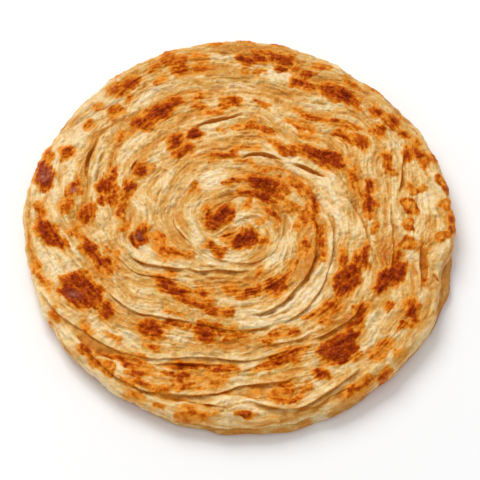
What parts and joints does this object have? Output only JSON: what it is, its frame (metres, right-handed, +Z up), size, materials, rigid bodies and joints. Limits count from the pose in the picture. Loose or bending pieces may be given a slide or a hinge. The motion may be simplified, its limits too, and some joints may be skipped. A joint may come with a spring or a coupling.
{
  "type": "paratha flatbread",
  "caption": "Round griddled flatbread: a flattened coil of flaky dough layers with raised folds, a blunt layered rim and a flat underside.",
  "frame": {"origin": "middle of the flat underside, on the surface the bread lies on", "axes": "+Z up out of the top crust, +Y towards the back of the bread, +X to its right, both in the plane of the surface it lies on"},
  "size_m": [0.1713, 0.1724, 0.0131],
  "materials": {
    "griddled_dough": "baked dough, cream to golden brown with scorched marks and a light sheen of fat"
  },
  "bodies": {
    "root": {"paratha": "griddled_dough"}
  },
  "joints": []
}
